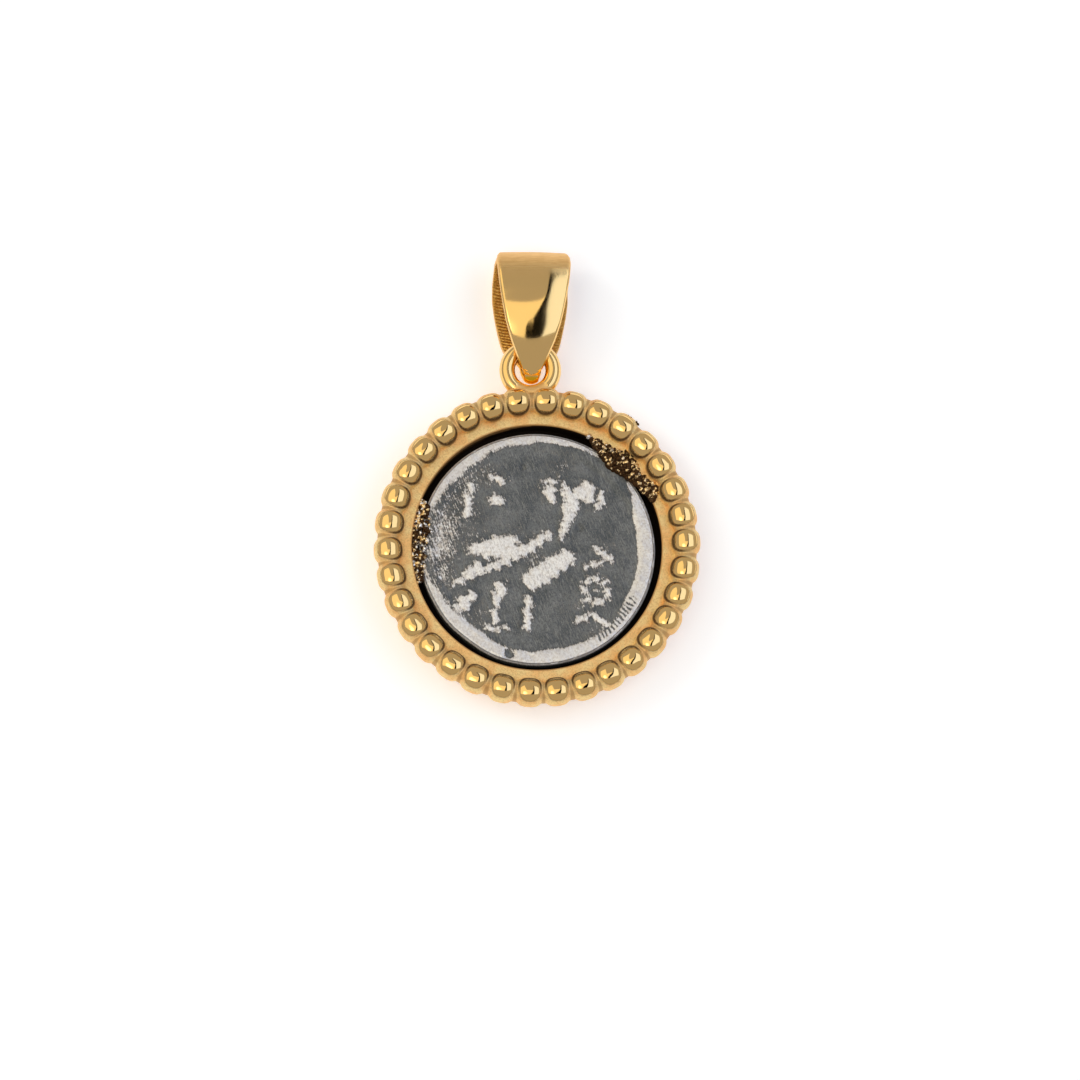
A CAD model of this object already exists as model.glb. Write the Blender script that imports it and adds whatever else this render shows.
import math

import bmesh
import bpy
import numpy as np
from mathutils import Matrix, Vector


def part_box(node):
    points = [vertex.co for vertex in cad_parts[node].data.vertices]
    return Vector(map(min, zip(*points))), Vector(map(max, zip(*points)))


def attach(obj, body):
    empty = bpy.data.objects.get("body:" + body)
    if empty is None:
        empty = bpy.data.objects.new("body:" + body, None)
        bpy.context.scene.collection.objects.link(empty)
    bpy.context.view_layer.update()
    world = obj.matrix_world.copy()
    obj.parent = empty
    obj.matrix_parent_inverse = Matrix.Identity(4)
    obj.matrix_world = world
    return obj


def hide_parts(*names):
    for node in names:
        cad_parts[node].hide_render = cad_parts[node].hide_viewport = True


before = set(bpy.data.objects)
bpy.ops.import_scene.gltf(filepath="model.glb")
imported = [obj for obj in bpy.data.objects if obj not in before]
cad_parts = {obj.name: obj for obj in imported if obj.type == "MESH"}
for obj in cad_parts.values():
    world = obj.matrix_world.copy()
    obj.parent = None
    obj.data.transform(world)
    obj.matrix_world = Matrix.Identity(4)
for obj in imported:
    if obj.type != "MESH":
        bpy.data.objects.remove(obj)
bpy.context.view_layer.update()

MM = 0.001
RNG = np.random.default_rng(7)

# Sizes in millimetres, as in the solids
BEAD_COUNT = 34
BEAD_R = 0.82
PITCH_R = 8.29
BEAD_STEP = 2 * math.pi / BEAD_COUNT
BEAD_Z = 1.82
# Shape of a bead along the row: half length to where its round would end, and how flat its middle is
BEAD_HALF = 0.79
BEAD_FLATNESS = 2.7
WEB_R = 0.60
# Softness of the crease between bead and web
CREASE_SOFT = 0.05
BEZEL_H = 1.7
WALL_GOLD_Z, WALL_GOLD_DROP = 1.68, 0.62
SEAT_R = 6.95
LIP_R = 6.25
LIP_T = 0.3
COLLAR_R = 7.75
RING_R = 1.29
WIRE_R = 0.44
COIN_R = 6.5
COIN_Z = 0.32
COIN_T = 1.15
COIN_TURN = math.radians(-2)

BEZEL_LO, BEZEL_HI = (np.array(corner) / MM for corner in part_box("bezel"))
COIN_LO, COIN_HI = (np.array(corner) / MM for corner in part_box("coin"))
BEZEL_Y = BEZEL_LO[1] + PITCH_R * math.cos(BEAD_STEP / 2) + BEAD_R
RING_Y = BEZEL_HI[1] - RING_R - WIRE_R
COIN_X = (COIN_LO[0] + COIN_HI[0]) / 2
COIN_Y = (COIN_LO[1] + COIN_HI[1]) / 2


def smooth(low, high, x):
    t = np.clip((x - low) / (high - low), 0, 1)
    return t * t * (3 - 2 * t)


def bumps(x, y, seed, octaves=4, gain=0.55):
    """Smooth unplanned values between about -1 and 1, from sums of turned waves."""
    rng = np.random.default_rng(seed)
    total, size, freq = 0, 1, 1
    for _ in range(octaves):
        for _ in range(4):
            a, p, k = rng.uniform(0, 2 * math.pi, 2).tolist() + [rng.uniform(0.7, 1.4)]
            across = x * math.cos(a) + y * math.sin(a)
            total = total + size * 0.5 * np.sin(across * freq * k * 2 * math.pi + p)
        size *= gain
        freq *= 2
    return total


# Mesh building

def make_mesh(name, verts, faces, attributes=None):
    """A smooth object from points in millimetres and faces, with a number per vertex for each attribute."""
    mesh = bpy.data.meshes.new(name)
    faces = faces if isinstance(faces, list) else faces.tolist()
    mesh.from_pydata((np.asarray(verts, float) * MM).tolist(), [], faces)
    mesh.update()
    mesh.polygons.foreach_set("use_smooth", np.ones(len(mesh.polygons), bool))
    for key, values in (attributes or {}).items():
        layer = mesh.attributes.new(key, "FLOAT", "POINT")
        layer.data.foreach_set("value", np.asarray(values, np.float32).ravel())
    obj = bpy.data.objects.new(name, mesh)
    bpy.context.collection.objects.link(obj)
    return obj


def grid_faces(rows, cols, closed=True):
    """Quads of a grid of points, joined to its first row and column again if it is closed."""
    less = 0 if closed else 1
    i, j = np.meshgrid(np.arange(rows - less), np.arange(cols - less), indexing="ij")
    i2, j2 = (i + 1) % rows, (j + 1) % cols
    quad = np.stack([i * cols + j, i * cols + j2, i2 * cols + j2, i2 * cols + j], axis=-1)
    return quad.reshape(-1, 4)


# Bezel

def bead_field(rho, phi, theta, beads):
    """How far a point lies outside the blend of beads and web.

    The point is at distance rho and angle phi from the beads' circle, theta round the bezel.
    Each bead has an angle round the bezel, a radius and a half length along the row.
    """
    radial, z = PITCH_R + rho * np.cos(phi), rho * np.sin(phi)
    nearest = None
    for angle, size, width in beads:
        turn = (theta - angle + math.pi) % (2 * math.pi) - math.pi
        across, tang = radial * np.cos(turn) - PITCH_R, radial * np.sin(turn)
        full = np.clip(1 - np.abs(tang / width) ** BEAD_FLATNESS, 0, 1) ** (1 / BEAD_FLATNESS)
        d = np.hypot(across, z) - size * full
        nearest = d if nearest is None else np.minimum(nearest, d)
    web = rho - WEB_R
    h = np.clip(0.5 + 0.5 * (web - nearest) / CREASE_SOFT, 0, 1)
    return web + (nearest - web) * h - CREASE_SOFT * h * (1 - h)


def bead_rho(phi, theta, beads):
    """Distance of the surface from the beads' circle, found by halving."""
    low, high = np.full(phi.shape, 0.4), np.full(phi.shape, 1.0)
    for _ in range(24):
        mid = (low + high) / 2
        out = bead_field(mid, phi, theta, beads) > 0
        high, low = np.where(out, mid, high), np.where(out, low, mid)
    return (low + high) / 2


def arc_points(cx, cz, r, start, end, n):
    """Points of an arc in the side view, from its centre, radius and angles in degrees."""
    a = np.radians(np.linspace(start, end, n))
    return np.stack([cx + r * np.cos(a), cz + r * np.sin(a)], axis=-1)


def build_bezel():
    per_bead, bead_rows = 24, 72
    cols = BEAD_COUNT * per_bead
    theta = (np.arange(cols) + 0.5) * 2 * math.pi / cols
    jitter = RNG.uniform(-1, 1, (BEAD_COUNT, 3))
    # Angle, radius and half length of each bead, a little uneven as cast beads are
    table = [
        np.arange(BEAD_COUNT) * BEAD_STEP + 0.004 * jitter[:, 0],
        BEAD_R - 0.012 + 0.008 * jitter[:, 1],
        BEAD_HALF + 0.02 * jitter[:, 2],
    ]
    home = np.rint(theta / BEAD_STEP).astype(int) % BEAD_COUNT
    near = [[column[(home + step) % BEAD_COUNT] for column in table] for step in (-1, 0, 1)]

    # The bead rows start in the crease on the rim and end where the web meets the collar
    start = np.full(cols, math.radians(189))
    end = np.full(cols, math.radians(-135))
    for _ in range(6):
        start = math.pi + np.arcsin((BEAD_Z - BEZEL_H) / bead_rho(start, theta, near))
        end = -np.arccos((COLLAR_R - PITCH_R) / bead_rho(end, theta, near))
    phi = start + (end - start) * np.linspace(0, 1, bead_rows)[:, None]
    beads_wide = [[np.broadcast_to(v, phi.shape) for v in bead] for bead in near]
    rho = bead_rho(phi, np.broadcast_to(theta, phi.shape), beads_wide)
    r_bead, z_bead = PITCH_R + rho * np.cos(phi), BEAD_Z + rho * np.sin(phi)

    turn = (theta - near[1][0] + math.pi) % (2 * math.pi) - math.pi
    across, along = r_bead * np.cos(turn) - PITCH_R, np.abs(r_bead * np.sin(turn))
    top = smooth(-0.15, 0.0, z_bead - BEAD_Z)

    # Plain part: from the creases over the rim, down the wall, round the lip and up the collar
    edge = 0.07
    wall = np.concatenate([
        arc_points(SEAT_R + edge, BEZEL_H - edge, edge, 90, 180, 5),
        [[SEAT_R, z] for z in (1.5, 1.35, 1.25, 1.0, LIP_T + 0.04)],
        [[SEAT_R - 0.04, LIP_T], [LIP_R + 0.12, LIP_T]],
        arc_points(LIP_R + 0.06, LIP_T - 0.06, 0.06, 90, 180, 3),
        arc_points(LIP_R + 0.06, 0.06, 0.06, 180, 270, 3),
        [[LIP_R + 0.3, 0.0], [COLLAR_R - 0.3, 0.0]],
        arc_points(COLLAR_R - edge, edge, edge, -90, 0, 4),
        [[COLLAR_R, 0.2], [COLLAR_R, 0.7]],
    ])
    r_crease = r_bead[0]
    # The wall is dark below this height, which is lower at the upper left, where light reaches it
    degrees = np.degrees(theta)
    gold_to = WALL_GOLD_Z - WALL_GOLD_DROP * smooth(80, 115, degrees) * smooth(185, 150, degrees)
    rows_r, rows_z, rows_dark = [], [], []
    for share in (0.03, 0.08, 0.16, 0.3, 0.5, 0.7, 0.88, 1.0):
        r = r_crease + (SEAT_R + edge + 0.02 - r_crease) * share
        rows_r.append(r)
        rows_z.append(np.full(cols, BEZEL_H) - 0.012 * np.exp(-(((r_crease - r) / 0.06) ** 2)))
        rows_dark.append(np.zeros(cols))
    for r, z in wall:
        rows_r.append(np.full(cols, r))
        rows_z.append(np.full(cols, z))
        on_wall = r < SEAT_R + 0.1 and z > 0.1
        rows_dark.append(smooth(gold_to, gold_to - 0.08, z) if on_wall else np.zeros(cols))
    rows_r.append(np.full(cols, COLLAR_R))
    rows_z.append(z_bead[-1] - 0.06)
    rows_dark.append(np.zeros(cols))

    # The plain rows run from the crease inwards, and the bead rows from the crease outwards
    r = np.concatenate([r_bead[::-1], np.array(rows_r)])
    z = np.concatenate([z_bead[::-1], np.array(rows_z)])
    plain = np.array(rows_dark)
    plain_across = np.array(rows_r) - PITCH_R
    attributes = {
        "across": np.concatenate([across[::-1], plain_across]),
        "along": np.concatenate([along[::-1], np.broadcast_to(along[0], plain.shape)]),
        "top": np.concatenate([top[::-1], (plain_across < -0.5) * (np.array(rows_z) > 1.6)]),
        "dark": np.concatenate([0 * top, plain]),
    }
    x, y = r * np.cos(theta), r * np.sin(theta)
    verts = np.stack([x, y + BEZEL_Y, z], axis=-1).reshape(-1, 3)
    faces = grid_faces(r.shape[0], cols)
    obj = make_mesh("beaded_bezel", verts, faces, attributes)
    obj.data.materials.append(gold_bezel_material())
    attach(obj, "root")
    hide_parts("bezel")


def build_ring():
    turns, sides = 144, 40
    u = np.linspace(0, 2 * math.pi, turns, endpoint=False)[:, None]
    v = np.linspace(0, 2 * math.pi, sides, endpoint=False)[None, :]
    r = RING_R + WIRE_R * np.cos(v)
    x, y, z = r * np.cos(u), RING_Y + r * np.sin(u), BEAD_Z + WIRE_R * np.sin(v) + 0 * u
    verts = np.stack([x, y, z], axis=-1).reshape(-1, 3)
    # Satin where it is soldered to the beads, and amber inside its lower half
    attributes = {
        "polish": smooth(-0.9, -0.6, np.sin(u)) + 0 * v,
        "ribs": 0 * u + 0 * v,
        "amber": smooth(0.5, 0.95, -np.cos(v)) * smooth(0.3, -0.3, np.sin(u)),
    }
    obj = make_mesh("hanging_ring", verts, grid_faces(turns, sides), attributes)
    obj.data.materials.append(gold_bail_material())
    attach(obj, "root")


# Bail, from the same arcs as the solid

BAIL_ROWS = 720
BAIL_L, BAIL_W, BAIL_T = 7.4, 4.3, 0.45
FOLD_R, TIP_R, BOW_R = 1.75, 0.85, 12.0
# Distance between the fold's and the tip's centres, and where the bow's centre lies between and beside them
AXIS_L = BAIL_L - FOLD_R - TIP_R
BOW_ALONG = ((BOW_R - TIP_R) ** 2 - (BOW_R - FOLD_R) ** 2 + AXIS_L**2) / (2 * AXIS_L)
BOW_OFF = math.sqrt((BOW_R - TIP_R) ** 2 - BOW_ALONG**2)
# How it lies: turned about its length and about Z, and moved across
BAIL_ROLL, BAIL_YAW, BAIL_SHIFT = math.radians(2), math.radians(-2.5), 0.08
FOLD_Z = (BOW_R - BOW_OFF) * math.cos(BAIL_ROLL) + BAIL_W / 2 * math.sin(BAIL_ROLL) + 0.02
BAIL_PITCH = math.asin((FOLD_Z - BEAD_Z) / AXIS_L)
TIP_ABOVE_RING = 0.195
TIP_REACH = 0.13
# Width and depth of the outer face's bevels, and the round of its sides
BEVEL_W, BEVEL_D, SIDE_ROUND = 0.13, 0.08, 0.04
# Swell of the outer face by share of the length: height, power, place of its ridge across and lean
BAIL_CROWN = np.array([
    (0.00, 0.14, 2.00, 0.00, 0.000), (0.04, 0.13, 2.00, 0.00, 0.000),
    (0.09, 0.09, 2.00, -0.10, 0.012), (0.36, 0.09, 2.00, -0.10, 0.012),
    (0.51, 0.13, 1.60, 0.22, 0.050), (0.63, 0.15, 1.40, 0.42, 0.062),
    (0.75, 0.14, 1.35, 0.45, 0.055), (0.84, 0.11, 1.35, 0.45, 0.040),
    (1.00, 0.04, 2.00, 0.20, 0.000),
])
RIDGE_SOFT = 0.03
# Rows over which the widths and the swell are smoothed
WIDTH_BLUR, CROWN_BLUR = 27, 41
# Fine ribs inside the strap: step, depth and slant
RIB_STEP, RIB_DEPTH, RIB_SLANT = 0.19, 0.03, 6.0
# Half width of the back and the front leg by share of the length, as shares of half of BAIL_W
BAIL_WIDTHS = np.array([
    [0.00, 0.17, 0.17], [0.06, 0.24, 0.24], [0.13, 0.36, 0.28], [0.17, 0.42, 0.50],
    [0.21, 0.48, 0.64], [0.25, 0.54, 0.72], [0.30, 0.60, 0.78], [0.42, 0.72, 0.87],
    [0.53, 0.80, 0.94], [0.65, 0.87, 0.99], [0.78, 0.93, 0.99], [0.90, 0.96, 0.96],
    [0.96, 0.95, 0.95], [1.00, 0.90, 0.90],
])


def bail_profile(n):
    """Centre, radius, normal angle and length so far of the side outline, at n even steps of length."""
    at_tip = math.atan2(BOW_OFF, -BOW_ALONG)
    at_fold = math.atan2(BOW_OFF, AXIS_L - BOW_ALONG)
    arcs = [
        ((AXIS_L, 0), FOLD_R, 0, at_fold),
        ((BOW_ALONG, -BOW_OFF), BOW_R, at_fold, at_tip),
        ((0, 0), TIP_R, at_tip, 2 * math.pi - at_tip),
        ((BOW_ALONG, BOW_OFF), BOW_R, 2 * math.pi - at_tip, 2 * math.pi - at_fold),
        ((AXIS_L, 0), FOLD_R, 2 * math.pi - at_fold, 2 * math.pi),
    ]
    lengths = np.cumsum([0] + [abs(b - a) * r for _, r, a, b in arcs])
    s = np.linspace(0, lengths[-1], n, endpoint=False)
    k = np.clip(np.searchsorted(lengths, s, side="right") - 1, 0, len(arcs) - 1)
    centre = np.array([arcs[i][0] for i in k], float)
    radius = np.array([arcs[i][1] for i in k], float)
    angle = np.array([arcs[i][2] for i in k]) + (s - lengths[k]) / radius
    return centre, radius, angle, s


def blur_rows(values, count):
    """Values round the bail's closed outline, smoothed over an odd count of rows."""
    kernel = np.hanning(count) / np.hanning(count).sum()
    return np.convolve(np.concatenate([values[-(count // 2):], values, values[:count // 2]]), kernel, "valid")


def build_bail():
    n = BAIL_ROWS
    centre, radius, angle, s = bail_profile(n)
    along = centre[:, 0] + radius * np.cos(angle)
    share = (along + TIP_R) / BAIL_L
    back = np.interp(share, BAIL_WIDTHS[:, 0], BAIL_WIDTHS[:, 1])
    front = np.interp(share, BAIL_WIDTHS[:, 0], BAIL_WIDTHS[:, 2])
    half = np.where(np.sin(angle) > 0, back, front) * BAIL_W / 2 + 0.05 * smooth(0.25, 0.05, share)
    half = blur_rows(half, WIDTH_BLUR)

    # Cross-section, once round: x as a share of the half width, x added, share of the crown, depth added
    # and polish
    section = [(v, -BEVEL_W * v, 1, 0, 1.0) for v in np.linspace(-1, 1, 57)]
    edge = [
        (1, -BEVEL_W * 0.5, 1, BEVEL_D * 0.5, 0.75), (1, -SIDE_ROUND, 1, BEVEL_D, 0.6),
        (1, 0, 1, BEVEL_D + SIDE_ROUND, 0.45), (1, 0, 0, BAIL_T - 0.06, 0.45),
        (1, -0.03, 0, BAIL_T - 0.015, 0.3),
    ]
    section += edge
    section += [(v, -0.1 * v, 0, BAIL_T, 0.0) for v in np.linspace(1, -1, 31)]
    section += [(-v, -add, crowned, deep, shine) for v, add, crowned, deep, shine in reversed(edge)]
    share_x, add_x, crowned, add_depth, shine = (np.array(c)[None, :] for c in zip(*section))
    inner = shine == 0

    narrow = smooth(0.3, 1.2, half)[:, None]
    x = half[:, None] * share_x + add_x * (0.35 + 0.65 * narrow)
    height, power, ridge, lean = (
        blur_rows(np.interp(share, BAIL_CROWN[:, 0], column), CROWN_BLUR)[:, None]
        for column in BAIL_CROWN[:, 1:].T
    )
    back_leg = smooth(-0.2, 0.5, np.sin(angle))[:, None]
    from_ridge = np.sqrt((share_x - ridge) ** 2 + RIDGE_SOFT**2)
    crown = height * (from_ridge**power - RIDGE_SOFT**power) + lean * back_leg * x
    inset = crowned * np.maximum(crown, 0) + add_depth
    wave = (s * 2 * math.pi / RIB_STEP + 0.8 * np.sin(s * 3.1))[:, None] + RIB_SLANT * x
    ribs = RIB_DEPTH * np.sin(wave) + 0.01 * bumps(s[:, None] * 1.7, x * 2.0, 5, 2)
    inset = inset + inner * ribs
    # The back leg is thinner towards the tip
    slim = 0.022 * np.clip(3.4 - along, 0, 3.9) ** 2 * smooth(-0.2, 0.5, np.sin(angle))
    rr = radius[:, None] - inset - slim[:, None]
    a = centre[:, :1] + rr * np.cos(angle)[:, None]
    d = centre[:, 1:] + rr * np.sin(angle)[:, None]
    a = a - TIP_REACH * (np.clip(-np.cos(angle), 0, 1) ** 2 * (centre[:, 0] == 0))[:, None]

    # Polished on the back leg, satin on the fold and on the front leg, ribbed inside,
    # amber where the tip turns under
    fold = smooth(0.64, 0.82, share)[:, None] * 0.4 + smooth(0.80, 0.97, share)[:, None] * 0.6
    tipward = np.where(np.sin(angle) > 0, 1.0, 0.35)[:, None]
    polish = shine * (1 - fold) * tipward
    rib_mask = np.where(inner, 0.75 - ribs / 0.04 * 0.25, 0.0)
    side = smooth(0.95, 1.0, np.abs(share_x)) * ~inner
    amber = np.maximum(smooth(-0.52, -0.66, a), smooth(0.5, 0.0, a) * side)

    points = np.stack([x, a, d], axis=-1).reshape(-1, 3)
    turn = Matrix.Rotation(BAIL_YAW, 3, "Z")
    turn = turn @ Matrix.Rotation(BAIL_PITCH, 3, "X") @ Matrix.Rotation(BAIL_ROLL, 3, "Y")
    points = points @ np.array(turn).T + np.array([BAIL_SHIFT, RING_Y + TIP_ABOVE_RING, BEAD_Z])
    m = share_x.shape[1]
    faces = grid_faces(n, m)[:, ::-1]
    attributes = {"polish": polish * np.ones_like(a), "ribs": rib_mask, "amber": amber}
    obj = make_mesh("bail_strap", points, faces, attributes)
    obj.data.materials.append(gold_bail_material())
    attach(obj, "root")
    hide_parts("bail")


# Coin

# The worn bird, leaves and marks as tapered strokes: start x, y and half width, end x, y and half width,
# as shares of the coin's radius
STROKES = [
    (0.11, 0.51, 0.060, 0.13, 0.45, 0.045), (0.05, 0.59, 0.025, 0.17, 0.60, 0.030),
    (0.22, 0.57, 0.030, 0.28, 0.47, 0.050), (0.30, 0.45, 0.060, 0.44, 0.53, 0.070),
    (0.42, 0.57, 0.035, 0.45, 0.45, 0.050), (0.56, 0.50, 0.025, 0.53, 0.39, 0.040),
    (0.30, 0.41, 0.080, 0.21, 0.10, 0.025), (0.25, -0.08, 0.080, 0.12, -0.15, 0.090),
    (0.12, -0.16, 0.090, -0.04, -0.27, 0.090), (0.10, 0.13, 0.040, -0.10, -0.01, 0.050),
    (-0.12, -0.01, 0.060, -0.26, -0.09, 0.050), (-0.22, 0.07, 0.060, -0.36, 0.03, 0.080),
    (-0.36, 0.02, 0.080, -0.56, -0.01, 0.050), (-0.20, -0.01, 0.070, -0.42, -0.04, 0.050),
    (-0.26, -0.10, 0.045, -0.72, -0.31, 0.025), (-0.50, -0.16, 0.060, -0.60, -0.23, 0.050),
    (-0.31, -0.34, 0.065, -0.35, -0.47, 0.035), (-0.35, -0.47, 0.030, -0.37, -0.65, 0.035),
    (-0.28, -0.69, 0.025, -0.45, -0.70, 0.025), (-0.07, -0.43, 0.035, -0.09, -0.67, 0.040),
    (-0.37, 0.43, 0.050, -0.32, 0.42, 0.045), (-0.40, 0.63, 0.030, -0.29, 0.60, 0.035),
    (-0.57, 0.55, 0.030, -0.60, 0.31, 0.045), (-0.64, -0.49, 0.070, -0.56, -0.41, 0.045),
    (0.50, 0.02, 0.025, 0.62, -0.08, 0.040), (0.42, -0.15, 0.025, 0.53, -0.12, 0.030),
    (0.34, -0.63, 0.030, 0.44, -0.58, 0.035), (0.49, -0.59, 0.035, 0.60, -0.65, 0.030),
]
# A ring of pellets: centre x and y, the ring's radius and a pellet's radius
ROSETTE = (0.50, -0.36, 0.105, 0.038)
# Bright worn border round the coin: degrees from the right, anticlockwise, and width and softness
# in millimetres
BORDER = np.array([
    (0, 1.0, 0.1), (20, 0.85, 0.1), (30, 0.5, 0.2), (38, 0.15, 0.2), (50, 0.12, 0.2),
    (60, 0.3, 0.2), (75, 0.45, 0.15), (90, 0.5, 0.15), (105, 0.55, 0.25), (120, 0.65, 0.4),
    (135, 0.7, 0.5), (150, 0.5, 0.5), (165, 0.3, 0.4), (180, 0.3, 0.4), (195, 0.4, 0.4),
    (210, 0.65, 0.4), (225, 0.95, 0.3), (240, 0.9, 0.2), (255, 0.75, 0.15), (270, 0.9, 0.15),
    (285, 0.85, 0.15), (300, 0.8, 0.2), (315, 0.75, 0.2), (330, 0.9, 0.15), (345, 1.0, 0.1),
    (360, 1.0, 0.1),
])
# Places where the field is speckled with bare silver: x, y and radius, as shares of the coin's radius,
# and strength
SPECKLES = [
    (-0.80, 0.18, 0.22, 0.62), (-0.84, 0.0, 0.20, 0.66), (-0.70, 0.42, 0.22, 0.40),
    (-0.58, 0.32, 0.18, 0.38), (-0.82, -0.22, 0.16, 0.52), (-0.45, 0.66, 0.20, 0.38),
    (-0.62, 0.60, 0.20, 0.46), (0.08, 0.55, 0.12, 0.40), (-0.20, 0.20, 0.14, 0.24),
    (0.0, -0.12, 0.16, 0.42), (0.60, 0.02, 0.12, 0.32), (-0.10, 0.10, 0.14, 0.28),
    (0.30, -0.50, 0.14, 0.24), (0.55, -0.75, 0.16, 0.36), (-0.50, -0.58, 0.14, 0.36),
    (0.50, 0.40, 0.14, 0.30), (-0.60, 0.10, 0.22, 0.36), (0.20, 0.75, 0.20, 0.26),
]
# Points along each side of the grid that is bent into the coin's face
COIN_GRID = 290
# Rows down the coin's side: distance out from its edge, height from its top, and wear
COIN_SIDE = [
    (-0.06, -0.035, 1.0), (-0.025, -0.07, 1.0), (-0.005, -0.12, 0.7), (0, -0.2, 0.0),
    (0, -0.75, 0.0), (-0.02, -0.95, 0.1),
]
# Rows of its underside, a plain worn face: share of the radius, height from the lowest, and wear
COIN_UNDERSIDE = [
    (0.985, 0.05, 0.9), (0.96, 0.01, 0.9), (0.9, 0.0, 0.9), (0.75, 0.05, 0.35), (0.5, 0.05, 0.35),
    (0.25, 0.05, 0.35), (0.08, 0.05, 0.35),
]
# Fine notches in the border: how many would go all round
TEETH = 160
# Small dark pits: x, y and radius, as shares of the coin's radius
PITS = [(-0.24, -0.915, 0.045), (-0.12, 0.72, 0.022), (0.36, 0.19, 0.03)]


def stroke_distance(x, y):
    """Distance to the nearest struck figure's edge, in shares of the coin's radius, negative inside."""
    best = np.full(x.shape, 9.0)
    for x0, y0, r0, x1, y1, r1 in STROKES:
        dx, dy = x1 - x0, y1 - y0
        t = np.clip(((x - x0) * dx + (y - y0) * dy) / (dx * dx + dy * dy), 0, 1)
        best = np.minimum(best, np.hypot(x - x0 - t * dx, y - y0 - t * dy) - (r0 + (r1 - r0) * t))
    ring = np.hypot(x - ROSETTE[0], y - ROSETTE[1])
    for k in range(8):
        a = k * math.pi / 4
        px, py = ROSETTE[0] + ROSETTE[2] * math.cos(a), ROSETTE[1] + ROSETTE[2] * math.sin(a)
        best = np.minimum(best, np.hypot(x - px, y - py) - ROSETTE[3])
    return np.minimum(best, ring - 0.018)


def square_to_disc(n):
    """An even grid of n by n points on the unit disc."""
    g = np.linspace(-1, 1, n)
    a, b = np.meshgrid(g, g, indexing="ij")
    wide = np.abs(a) > np.abs(b)
    r = np.where(wide, a, b)
    with np.errstate(divide="ignore", invalid="ignore"):
        angle = np.where(wide, math.pi / 4 * b / a, math.pi / 2 - math.pi / 4 * a / b)
    angle = np.nan_to_num(angle)
    return r * np.cos(angle), r * np.sin(angle)


def coin_edge(angle):
    """The coin's uneven outline, in millimetres."""
    c, s = np.cos(angle), np.sin(angle)
    return COIN_R + 0.10 + 0.03 * bumps(c * 0.5, s * 0.5, 3, 3)


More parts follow.
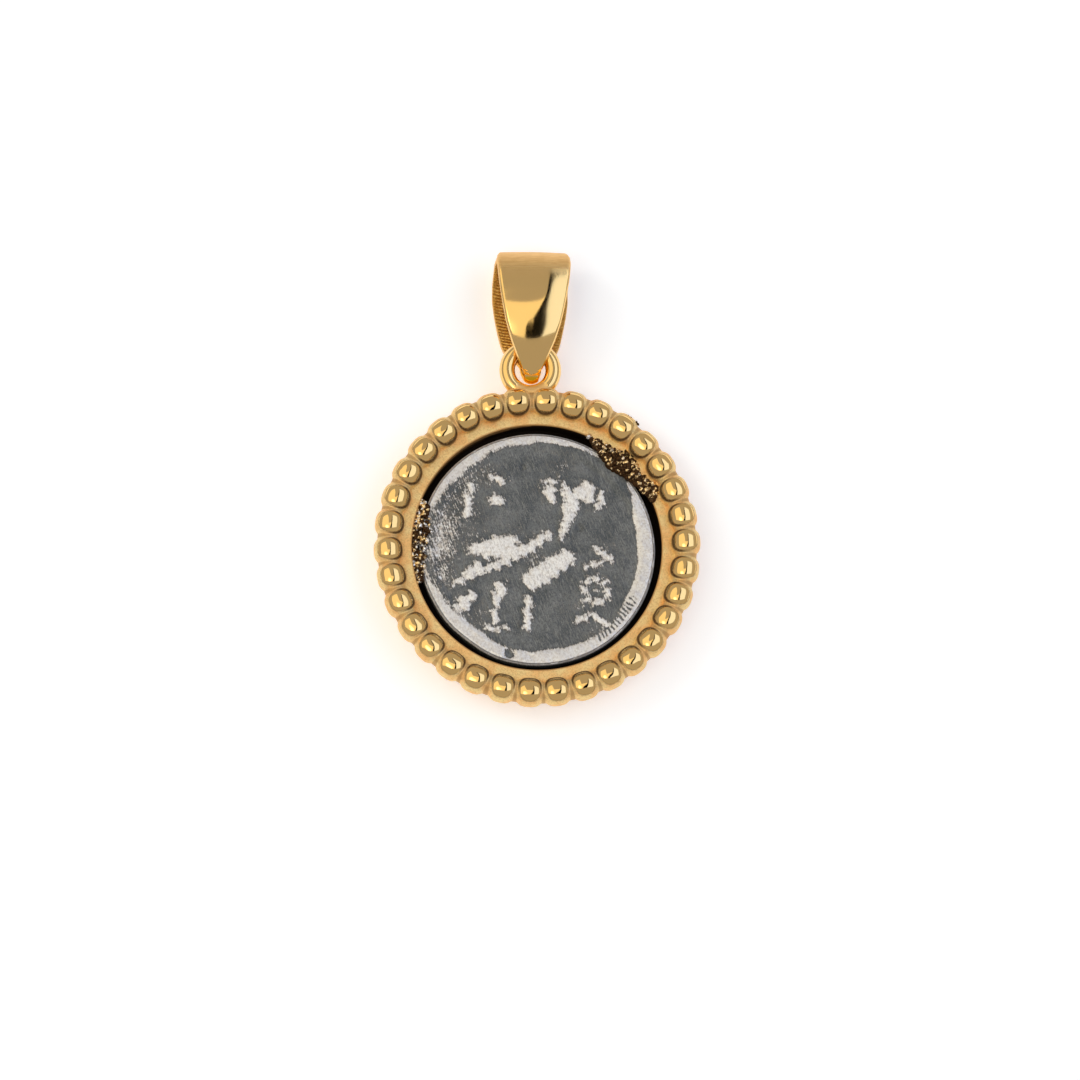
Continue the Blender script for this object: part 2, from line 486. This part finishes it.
def build_coin():
    n = COIN_GRID
    u, v = square_to_disc(n)
    share = np.hypot(u, v)
    angle = np.arctan2(v, u)
    edge = coin_edge(angle)
    flat_r = edge - 0.12
    x, y = u * flat_r, v * flat_r
    lx, ly = x / COIN_R, y / COIN_R

    d = stroke_distance(lx, ly)
    wobble = 0.012 * bumps(lx * 9, ly * 9, 11, 3)
    figure = 1 - smooth(-0.05, 0.045, d + wobble)
    degrees = np.degrees(angle) % 360
    core = smooth(0.01, -0.045, d + wobble)
    width = np.interp(degrees, BORDER[:, 0], BORDER[:, 1])
    radius = share * flat_r
    border_d = (edge - width - radius) + 0.06 * bumps(x * 0.35, y * 0.35, 19, 3)
    soft = np.interp(degrees, BORDER[:, 0], BORDER[:, 2])
    border_worn = 1 - smooth(-1, 1, border_d / soft)
    border_up = 1 - smooth(-0.1, 0.35, edge - 0.75 - radius)
    speckle = np.zeros_like(x)
    for sx, sy, sr, strength in SPECKLES:
        speckle = np.maximum(speckle, strength * np.exp(-(((lx - sx) ** 2 + (ly - sy) ** 2) / (sr * sr))))
    notches = 0.5 + 0.5 * np.sin(np.radians(degrees) * TEETH + 0.8 * bumps(x, y, 31, 2))
    teeth = notches * smooth(298, 308, degrees) * smooth(338, 328, degrees)
    from_edge = edge - radius
    teeth = teeth * smooth(0.25, 0.4, from_edge) * smooth(0.95, 0.7, from_edge)
    border_worn = border_worn * (1 - 0.8 * teeth)
    worn = np.maximum.reduce([figure, border_worn, speckle])
    rim = border_worn * smooth(0.5, 0.9, border_worn)
    pit = np.zeros_like(x)
    for px, py, pr in PITS:
        pit = np.maximum(pit, np.exp(-((np.hypot(lx - px, ly - py) / pr) ** 4)))
    top = COIN_T + COIN_Z
    z = top - 0.08 + 0.08 * border_up + 0.085 * figure * (1 - border_up)
    z = z + 0.008 * bumps(x * 0.9, y * 0.9, 23, 4) - 0.12 * pit - 0.02 * smooth(flat_r - 0.15, flat_r, radius)
    worn = worn * (1 - pit)

    # The grid's border in order, where the side starts
    idx = np.arange(n * n).reshape(n, n)
    loop = np.concatenate([idx[:-1, 0], idx[-1, :-1], idx[:0:-1, -1], idx[0, :0:-1]])
    verts = [np.stack([x, y, z], axis=-1).reshape(-1, 3)]
    quads = [grid_faces(n, n, closed=False)[:, ::-1]]
    attrs, rims, cores = [worn.ravel()], [rim.ravel()], [core.ravel()]
    la, le = angle.ravel()[loop], edge.ravel()[loop]
    # Then down the side and over the underside, each row with its radius, height, wear and rim tone
    rows = [(le + out, top + down, wear, wear) for out, down, wear in COIN_SIDE]
    rows += [(le * part, COIN_Z + up, wear, 0.0) for part, up, wear in COIN_UNDERSIDE]
    previous, count = loop, n * n
    for r, height, wear, tone in rows:
        verts.append(np.stack([r * np.cos(la), r * np.sin(la), np.full(len(loop), height)], axis=-1))
        attrs.append(np.full(len(loop), wear))
        rims.append(np.full(len(loop), tone))
        cores.append(np.zeros(len(loop)))
        current = np.arange(count, count + len(loop))
        quads.append(np.stack([previous, np.roll(previous, -1), np.roll(current, -1), current], axis=-1))
        previous, count = current, count + len(loop)
    verts.append(np.array([[0, 0, COIN_Z + 0.05]]))
    attrs.append([COIN_UNDERSIDE[-1][2]])
    rims.append([0.0])
    cores.append([0.0])
    tris = [[int(a), int(b), count] for a, b in zip(previous, np.roll(previous, -1))]

    verts = np.concatenate(verts)
    c, s = math.cos(COIN_TURN), math.sin(COIN_TURN)
    x, y, z = verts.T
    turned = np.stack([x * c - y * s + COIN_X, x * s + y * c + COIN_Y, z], axis=-1)
    faces = [q for block in quads for q in block.tolist()] + tris
    attributes = {"worn": np.concatenate(attrs), "rim": np.concatenate(rims), "core": np.concatenate(cores)}
    obj = make_mesh("struck_coin", turned, faces, attributes)
    obj.data.materials.append(coin_material())
    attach(obj, "root")
    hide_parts("coin")


# Rough solder

def ico(level):
    """Points and triangles of a ball of radius 1."""
    mesh = bpy.data.meshes.new("ico")
    b = bmesh.new()
    bmesh.ops.create_icosphere(b, subdivisions=level, radius=1.0)
    b.to_mesh(mesh)
    b.free()
    verts = np.array([tuple(v.co) for v in mesh.vertices])
    faces = np.array([tuple(p.vertices) for p in mesh.polygons])
    bpy.data.meshes.remove(mesh)
    return verts, faces


def scatter(name, lumps, material):
    """One mesh of uneven lumps: the place, size, shade from dark to bright and share of silver of each."""
    base, tri = ico(2)
    verts, faces, shade, pale = [], [], [], []
    for k, (place, size, bright, silver) in enumerate(lumps):
        warp = 1 + 0.22 * np.sin(base @ RNG.normal(0, 2.2, 3) + RNG.uniform(0, 6))
        stretch = RNG.uniform(0.75, 1.2, 3)
        verts.append(base * warp[:, None] * stretch * size + np.array(place))
        faces.append(tri + k * len(base))
        shade.append(np.full(len(base), bright))
        pale.append(np.full(len(base), silver))
    attributes = {"shade": np.concatenate(shade), "pale": np.concatenate(pale)}
    obj = make_mesh(name, np.concatenate(verts), np.concatenate(faces), attributes)
    obj.data.materials.append(material)
    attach(obj, "root")


# Right patch: degrees round the bezel, inner and outer radius in millimetres
SOLDER_RIGHT = np.array([
    (20.5, 6.95, 7.05), (24, 6.85, 7.5), (27, 6.72, 7.5), (31, 6.6, 7.25), (35, 6.45, 7.15),
    (39, 6.3, 7.35), (42.5, 6.22, 7.52), (46, 6.15, 7.35), (51, 6.25, 7.12), (57, 6.55, 7.02),
    (62, 6.85, 6.98),
])
# Left patch, inside the wall: degrees and inner radius
SOLDER_LEFT = np.array([
    (155, 6.75), (159, 6.35), (165, 6.15), (171, 6.05), (178, 6.15), (185, 6.25), (191, 6.45),
    (195, 6.75),
])
# Height of the grains that lie on the rim
GRAIN_Z = 1.72
# Dark burr on the outside of one bead: degrees and radius
BURR_AT, BURR_R = 52.0, 9.0


def place(degrees, r, z):
    """A point in millimetres, by its angle and distance round the bezel's centre."""
    a = math.radians(degrees)
    return r * math.cos(a), BEZEL_Y + r * math.sin(a), z


def right_span(degrees):
    """Inner and outer radius of the right patch."""
    return [np.interp(degrees, SOLDER_RIGHT[:, 0], column) for column in SOLDER_RIGHT[:, 1:].T]


def build_solder():
    right, left = [], []
    low, high = SOLDER_RIGHT[0, 0], SOLDER_RIGHT[-1, 0]
    for _ in range(560):
        a = RNG.uniform(low, high)
        inner, outer = right_span(a)
        r = RNG.uniform(inner, outer)
        z = GRAIN_Z if r > SEAT_R + 0.04 else 1.6 + RNG.uniform(0.0, 0.16)
        size = RNG.uniform(0.045, 0.13)
        right.append((place(a, r, z), size, RNG.uniform(0, 1) ** 1.3, RNG.uniform(0, 0.62)))
    # Larger dark lumps under the grains, so that the patch is one mass
    for a in np.linspace(low + 1, high - 1, 44):
        inner, outer = right_span(a)
        for share in (0.25, 0.6):
            size = 0.10 + 0.22 * (outer - inner) * RNG.uniform(0.6, 1.0)
            r = inner + (outer - inner) * share
            z = (1.66 if r < SEAT_R else GRAIN_Z) - size * 0.8
            right.append((place(a, r, z), size, 0.1 * RNG.uniform(0, 1), 0.0))
    right.append((place(63.4, SEAT_R + 0.02, GRAIN_Z), 0.15, 1.0, 0.9))
    low, high = SOLDER_LEFT[0, 0], SOLDER_LEFT[-1, 0]
    for _ in range(330):
        a = RNG.uniform(low, high)
        inner = np.interp(a, SOLDER_LEFT[:, 0], SOLDER_LEFT[:, 1])
        r = SEAT_R - 0.02 - (SEAT_R - inner) * RNG.uniform(0, 1) ** 1.3
        z = 1.5 + RNG.uniform(0, 0.12)
        left.append((place(a, r, z), RNG.uniform(0.05, 0.14), RNG.uniform(0.1, 1.15), RNG.uniform(0.2, 1)))
    for a in np.linspace(low + 1, high - 1, 32):
        left.append((place(a, SEAT_R - 0.18, 1.36), 0.22, 0.1, 0.2))
    left.append((place(169.5, 5.93, 1.5), 0.1, 1.0, 1.0))
    burr = []
    for _ in range(46):
        a, r = BURR_AT + RNG.uniform(-3.2, 3.0), BURR_R + RNG.uniform(-0.05, 0.03)
        burr.append((place(a, r, 1.95 + RNG.uniform(-0.1, 0.2)), RNG.uniform(0.03, 0.06), 0.15, 0.6))
    material = solder_material()
    scatter("solder_right", right, material)
    scatter("solder_left", left, material)
    scatter("rim_burr", burr, material)


# Materials

class Nodes:
    """Short ways to add and join shader nodes."""

    def __init__(self, name):
        self.material = bpy.data.materials.new(name)
        self.material.use_nodes = True
        self.tree = self.material.node_tree
        self.shader = self.tree.nodes["Principled BSDF"]

    def add(self, kind, links=None, **values):
        """A node with its settings, and its inputs joined to other nodes' outputs."""
        node = self.tree.nodes.new(kind)
        for key, value in values.items():
            setattr(node, key, value)
        for key, source in (links or {}).items():
            self.tree.links.new(source, node.inputs[key])
        return node

    def attribute(self, name):
        return self.add("ShaderNodeAttribute", attribute_name=name).outputs["Fac"]

    def place(self, scale, turn=0.0):
        """Object coordinates in millimetres, scaled and turned about Z."""
        coords = self.add("ShaderNodeTexCoord").outputs["Object"]
        turned = self.add("ShaderNodeMapping", {"Vector": coords})
        turned.inputs["Rotation"].default_value = (0, 0, turn)
        scaled = self.add("ShaderNodeMapping", {"Vector": turned.outputs["Vector"]})
        scaled.inputs["Scale"].default_value = tuple(share / MM for share in scale)
        return scaled.outputs["Vector"]

    def noise(self, scale, detail=3.0, turn=0.0, rough=0.5):
        node = self.add("ShaderNodeTexNoise", {"Vector": self.place(scale, turn)})
        node.inputs["Scale"].default_value = 1.0
        node.inputs["Detail"].default_value = detail
        node.inputs["Roughness"].default_value = rough
        return node.outputs["Fac"]

    def math(self, operation, a, b=None, clamp=False):
        node = self.add("ShaderNodeMath", operation=operation, use_clamp=clamp)
        for socket, value in zip(node.inputs, (a, b)):
            if value is None:
                continue
            if isinstance(value, (int, float)):
                socket.default_value = value
            else:
                self.tree.links.new(value, socket)
        return node.outputs["Value"]

    def times(self, a, b):
        return self.math("MULTIPLY", a, b)

    def sway(self, value, noise, weight):
        """A value moved up and down by a noise that lies between 0 and 1."""
        return self.math("ADD", value, self.times(self.math("SUBTRACT", noise, 0.5), weight))

    def span(self, value, low, high, to_low=0.0, to_high=1.0):
        """A smooth step from one value to another between low and high."""
        node = self.add("ShaderNodeMapRange", interpolation_type="SMOOTHSTEP")
        self.tree.links.new(value, node.inputs["Value"])
        for key, v in (("From Min", low), ("From Max", high), ("To Min", to_low), ("To Max", to_high)):
            node.inputs[key].default_value = v
        return node.outputs["Result"]

    def mix(self, factor, a, b):
        node = self.add("ShaderNodeMix", data_type="RGBA")
        for key, value in ((0, factor), (6, a), (7, b)):
            if isinstance(value, (tuple, float, int)):
                node.inputs[key].default_value = value if not isinstance(value, tuple) else (*value, 1.0)
            else:
                self.tree.links.new(value, node.inputs[key])
        return node.outputs[2]

    def set(self, key, value):
        if isinstance(value, (int, float)):
            self.shader.inputs[key].default_value = value
        elif isinstance(value, tuple):
            self.shader.inputs[key].default_value = (*value, 1.0)
        else:
            self.tree.links.new(value, self.shader.inputs[key])

    def bump(self, height, distance, strength=1.0):
        node = self.add("ShaderNodeBump", {"Height": height})
        node.inputs["Strength"].default_value = strength
        node.inputs["Distance"].default_value = distance * MM
        self.tree.links.new(node.outputs["Normal"], self.shader.inputs["Normal"])


GOLD = (1.0, 0.655, 0.25)
GOLD_SATIN = (1.0, 0.63, 0.245)
DARK_CREASE = (0.10, 0.05, 0.018)
AMBER = (1.0, 0.53, 0.02)
# Half sizes of a bead's polished dome, in millimetres
DOME_ACROSS, DOME_ALONG = 0.665, 0.58
# Direction of the fine scratches on the coin, clockwise from its +Y
STREAK_TURN = math.radians(-18)


def gold_bezel_material():
    n = Nodes("gold_cast")
    across, along, top, dark = (n.attribute(name) for name in ("across", "along", "top", "dark"))
    grain = n.noise((12, 12, 12), 5, rough=0.7)
    cloud = n.noise((1.3, 1.3, 1.3), 3)
    # How near a point is to the outline of a bead's polished dome, which is 1
    u = n.math("ABSOLUTE", n.math("DIVIDE", n.math("ADD", across, 0.045), DOME_ACROSS))
    v = n.math("DIVIDE", along, DOME_ALONG)
    reach = n.math("POWER", n.math("ADD", n.math("POWER", u, 2.5), n.math("POWER", v, 2.5)), 0.4)
    ragged = n.sway(reach, grain, 0.12)
    shine = n.times(n.span(ragged, 0.97, 1.01, 1.0, 0.0), top)
    inner = n.span(across, -0.4, 0.35, 1.0, 0.0)
    thick = n.times(n.span(ragged, 0.93, 1.0), n.span(ragged, 1.09, 1.2, 1.0, 0.0))
    thick = n.times(thick, inner)
    thin = n.times(n.span(ragged, 0.93, 0.98), n.span(ragged, 1.0, 1.06, 0.4, 0.0))
    line = n.times(n.math("MAXIMUM", thick, thin), top)
    satin = n.mix(n.span(cloud, 0.35, 0.65), (1.0, 0.60, 0.235), (1.0, 0.735, 0.33))
    satin = n.mix(n.span(grain, 0.36, 0.55, 0.5, 0.0), satin, (0.60, 0.34, 0.12))
    color = n.mix(shine, satin, GOLD)
    color = n.mix(n.times(line, n.span(grain, 0.3, 0.6, 0.7, 1.0)), color, DARK_CREASE)
    # Brown line where two beads meet, and another on the rim's inner edge
    meeting = n.times(n.span(along, 0.66, 0.75), n.span(across, -0.52, -0.40))
    color = n.mix(n.times(meeting, 0.6), color, (0.42, 0.21, 0.07))
    rim_edge = n.span(across, -1.24, -1.29)
    color = n.mix(n.times(rim_edge, 0.7), color, (0.55, 0.26, 0.08))
    n.set("Base Color", n.mix(dark, color, (0.012, 0.007, 0.004)))
    n.set("Metallic", n.times(n.span(dark, 0.0, 1.0, 1.0, 0.0), n.span(shine, 0, 1, 0.7, 1.0)))
    n.set("Specular IOR Level", 0.1)
    dull = n.times(n.math("MAXIMUM", line, dark), 0.2)
    n.set("Roughness", n.math("ADD", n.span(shine, 0, 1, 0.42, 0.07), dull))
    n.bump(n.times(grain, n.span(shine, 0, 1, 1.0, 0.02)), 0.03, 1.0)
    return n.material


def gold_bail_material():
    n = Nodes("gold_bail")
    polish, ribs, amber = n.attribute("polish"), n.attribute("ribs"), n.attribute("amber")
    grain = n.noise((10, 10, 10), 4)
    shine = n.span(polish, 0.15, 0.85)
    brushed = n.noise((1.5, 9, 9), 4, rough=0.6)
    satin = n.mix(n.span(brushed, 0.35, 0.65), (0.90, 0.53, 0.19), GOLD_SATIN)
    color = n.mix(shine, satin, GOLD)
    crest = n.times(n.span(grain, 0.35, 0.65), n.span(ribs, 0.5, 1.0))
    deep = n.mix(crest, (0.55, 0.26, 0.04), (1.0, 0.67, 0.21))
    n.set("Base Color", n.mix(amber, n.mix(n.span(ribs, 0.0, 0.4), color, deep), AMBER))
    n.set("Metallic", n.math("MAXIMUM", n.span(shine, 0, 1, 0.8, 1.0), n.span(amber, 0, 1, 0.8, 0.95)))
    n.set("Roughness", n.math("ADD", n.span(shine, 0, 1, 0.46, 0.09), n.times(ribs, -0.1)))
    n.bump(n.times(n.math("ADD", grain, brushed), n.span(shine, 0, 1, 1.0, 0.02)), 0.02, 0.8)
    return n.material


def coin_material():
    n = Nodes("worn_silver")
    worn, rim, core = n.attribute("worn"), n.attribute("rim"), n.attribute("core")
    fine = n.span(n.noise((8, 8, 8), 5, rough=0.6), 0.3, 0.7)
    speck = n.noise((18, 18, 18), 3)
    streak = n.span(n.noise((16, 1.9, 3), 3, turn=STREAK_TURN, rough=0.65), 0.3, 0.7)
    hair = n.span(n.noise((28, 3.5, 5), 2, turn=STREAK_TURN), 0.35, 0.65)
    cloud = n.noise((0.8, 0.8, 0.8), 3)
    blotch = n.noise((3.2, 3.2, 3.2), 3, rough=0.6)
    ragged = n.math("SUBTRACT", n.times(worn, 1.15), 0.08)
    ragged = n.sway(ragged, fine, 0.3)
    ragged = n.sway(ragged, streak, 0.52)
    ragged = n.sway(ragged, blotch, 0.7)
    bare = n.span(ragged, 0.36, 0.68)
    patina = n.mix(n.span(cloud, 0.35, 0.65), (0.090, 0.100, 0.107), (0.18, 0.188, 0.19))
    patina = n.mix(n.times(n.span(streak, 0.45, 1.0), 0.5), patina, (0.37, 0.36, 0.34))
    patina = n.mix(n.times(n.span(hair, 0.0, 0.5, 1.0, 0.0), 0.4), patina, (0.03, 0.036, 0.04))
    patina = n.mix(n.times(n.span(speck, 0.5, 0.68), 0.35), patina, (0.34, 0.33, 0.31))
    patina = n.mix(n.times(n.span(fine, 0.1, 0.5, 1.0, 0.0), 0.45), patina, (0.05, 0.056, 0.06))
    silver = n.mix(n.times(fine, n.span(streak, 0, 1, 0.55, 1.0)), (0.60, 0.54, 0.49), (1.0, 0.98, 0.95))
    patch = n.span(n.noise((3.5, 3.5, 3.5), 4, rough=0.65), 0.47, 0.62)
    mottle = n.times(patch, n.span(rim, 0, 1, 0.75, 0.2))
    silver = n.mix(mottle, silver, (0.62, 0.53, 0.45))
    silver = n.mix(n.times(core, n.span(fine, 0.1, 0.8, 0.45, 1.0)), silver, (1.0, 0.975, 0.94))
    silver = n.mix(n.times(n.span(hair, 0.0, 0.4, 1.0, 0.0), 0.3), silver, (0.24, 0.22, 0.21))
    silver = n.mix(n.times(rim, n.span(fine, 0, 1, 0.3, 0.8)), silver, (0.84, 0.82, 0.81))
    halo = n.times(n.span(ragged, 0.25, 0.42), n.span(ragged, 0.42, 0.6, 1.0, 0.0))
    base = n.mix(bare, patina, silver)
    n.set("Base Color", n.mix(n.times(halo, 0.55), base, (0.09, 0.07, 0.05)))
    n.set("Metallic", n.math("SUBTRACT", n.span(bare, 0, 1, 0.3, 0.5), n.times(core, 0.4), clamp=True))
    n.set("Roughness", n.span(bare, 0, 1, 0.5, 0.3))
    height = n.math("ADD", n.times(bare, 0.5), n.times(streak, 0.4))
    n.bump(n.math("ADD", height, n.times(speck, 0.3)), 0.02, 0.9)
    return n.material


def solder_material():
    n = Nodes("burnt_solder")
    shade, pale = n.attribute("shade"), n.attribute("pale")
    spot = n.noise((12, 12, 12), 3)
    bright = n.span(n.sway(shade, spot, 0.3), 0.52, 0.80)
    metal = n.mix(n.span(pale, 0.45, 0.8), (1.0, 0.72, 0.36), (1.0, 0.94, 0.86))
    n.set("Base Color", n.mix(bright, (0.075, 0.036, 0.014), metal))
    n.set("Metallic", 0.9)
    n.set("Roughness", n.span(bright, 0, 1, 0.5, 0.25))
    return n.material


def floor_material():
    n = Nodes("pale_floor")
    soft = n.noise((0.02, 0.02, 0.02), 2)
    n.set("Base Color", n.mix(soft, (0.925, 0.935, 0.955), (0.93, 0.94, 0.96)))
    n.set("Roughness", 0.9)
    n.set("Specular IOR Level", 0.0)
    n.set("Emission Color", (0.97, 0.98, 1.0))
    n.set("Emission Strength", 0.33)
    return n.material


# Camera, floor and lights

# Width of the picture at the pendant, and how far away the camera is
FRAME_MM = 60.0
SENSOR_MM = 36
CAMERA_MM = 550.0
CAMERA_TILT = math.radians(12.8)
CAMERA_HEADING = math.radians(257 - 2.2)
IMAGE_TURN = math.radians(2.2)
# Where the picture's centre lies from the beads' circle, to the right and up
PICTURE_CENTRE = (0.161, 0.369)


def build_camera():
    data = bpy.data.cameras.new("camera")
    cam = bpy.data.objects.new("camera", data)
    bpy.context.collection.objects.link(cam)
    elevation = math.pi / 2 - CAMERA_TILT
    level = math.cos(elevation)
    back = Vector((
        math.cos(CAMERA_HEADING) * level, math.sin(CAMERA_HEADING) * level, math.sin(elevation),
    ))
    up = Vector((math.sin(IMAGE_TURN), math.cos(IMAGE_TURN), 0))
    up = (up - back * up.dot(back)).normalized()
    right = up.cross(back)
    aim = Vector((0, BEZEL_Y, BEAD_Z)) + right * PICTURE_CENTRE[0] + up * PICTURE_CENTRE[1]
    turn = Matrix((right, up, back)).transposed().to_4x4()
    cam.matrix_world = Matrix.Translation((aim + back * CAMERA_MM) * MM) @ turn
    data.sensor_width = SENSOR_MM
    data.lens = SENSOR_MM * CAMERA_MM / FRAME_MM
    data.clip_start, data.clip_end = 0.01, 10
    bpy.context.scene.camera = cam


def area_light(name, x, y, z, size_x, size_y, radiance, color):
    """A soft box facing down, placed in millimetres."""
    data = bpy.data.lights.new(name, "AREA")
    data.shape = "RECTANGLE"
    data.size, data.size_y = size_x * MM, size_y * MM
    data.energy = radiance * math.pi * data.size * data.size_y
    data.color = color
    obj = bpy.data.objects.new(name, data)
    obj.location = (x * MM, y * MM, z * MM)
    bpy.context.collection.objects.link(obj)
    obj.visible_camera = False
    return obj


# What the polished gold mirrors, as outlines on a level plane above it, seen from above:
# name, corners, colour and radiance
CARDS_Z = 650
FLOOR_HALF_MM = 1500
WORLD_COLOR = (0.43, 0.42, 0.42, 1)
CARDS = [
    ("left_card",
     [(10, -331), (148, 90), (-80, 90), (-275, 710), (-1126, 710), (-1126, -331)],
     (1.0, 0.92, 0.72), 1.05),
    ("right_card",
     [(200, -331), (1050, -331), (1050, 600), (260, 600), (245, 300), (225, 90)],
     (0.86, 0.98, 1.25), 1.2),
    ("dark_card",
     [(10, -331), (200, -331), (225, 90), (245, 300), (260, 600), (215, 600), (180, 300), (148, 90)],
     (0.0, 0.0, 0.0), 0.0),
]
# Brightest place of the left card: centre, reach and how much brighter it is there
GLOW_PLACE, GLOW_REACH, GLOW_GAIN = (-270, -210), 260, 2.4
KEY_PLACE, KEY_SIZE, KEY_RADIANCE = (-560, 260, 560), 260, 3.5


def glow(n, radiance):
    """Strength of a card that is brighter round one place."""
    coords = n.add("ShaderNodeTexCoord").outputs["Object"]
    centre = tuple(v * MM for v in (*GLOW_PLACE, CARDS_Z))
    away = n.add("ShaderNodeVectorMath", {"Vector": coords}, operation="DISTANCE")
    away.inputs[1].default_value = centre
    return n.span(away.outputs["Value"], 0.0, GLOW_REACH * MM, radiance * (1 + GLOW_GAIN), radiance)


def build_stage():
    w = FLOOR_HALF_MM
    floor = make_mesh("floor", [(-w, -w, 0), (w, -w, 0), (w, w, 0), (-w, w, 0)], [(0, 1, 2, 3)])
    floor.data.materials.append(floor_material())
    for name, corners, color, radiance in CARDS:
        card = make_mesh(name, [(x, y, CARDS_Z) for x, y in corners], [tuple(range(len(corners)))])
        light = Nodes(name)
        light.set("Base Color", (0.0, 0.0, 0.0))
        light.set("Emission Color", color)
        light.set("Emission Strength", glow(light, radiance) if name == "left_card" else radiance)
        light.set("Roughness", 1.0)
        light.set("Specular IOR Level", 0.0)
        card.data.materials.append(light.material)
        card.visible_camera = card.visible_shadow = False
    key = area_light("key", *KEY_PLACE, KEY_SIZE, KEY_SIZE, KEY_RADIANCE, (1.0, 0.99, 0.98))
    key.rotation_euler = Vector(KEY_PLACE).to_track_quat("Z", "Y").to_euler()
    key.visible_glossy = False
    world = bpy.data.worlds.new("studio")
    world.use_nodes = True
    world.node_tree.nodes["Background"].inputs["Color"].default_value = WORLD_COLOR
    world.node_tree.nodes["Background"].inputs["Strength"].default_value = 1.0
    bpy.context.scene.world = world
    bpy.context.scene.view_settings.view_transform = "Standard"


build_bezel()
build_ring()
build_bail()
build_coin()
build_solder()
build_camera()
build_stage()
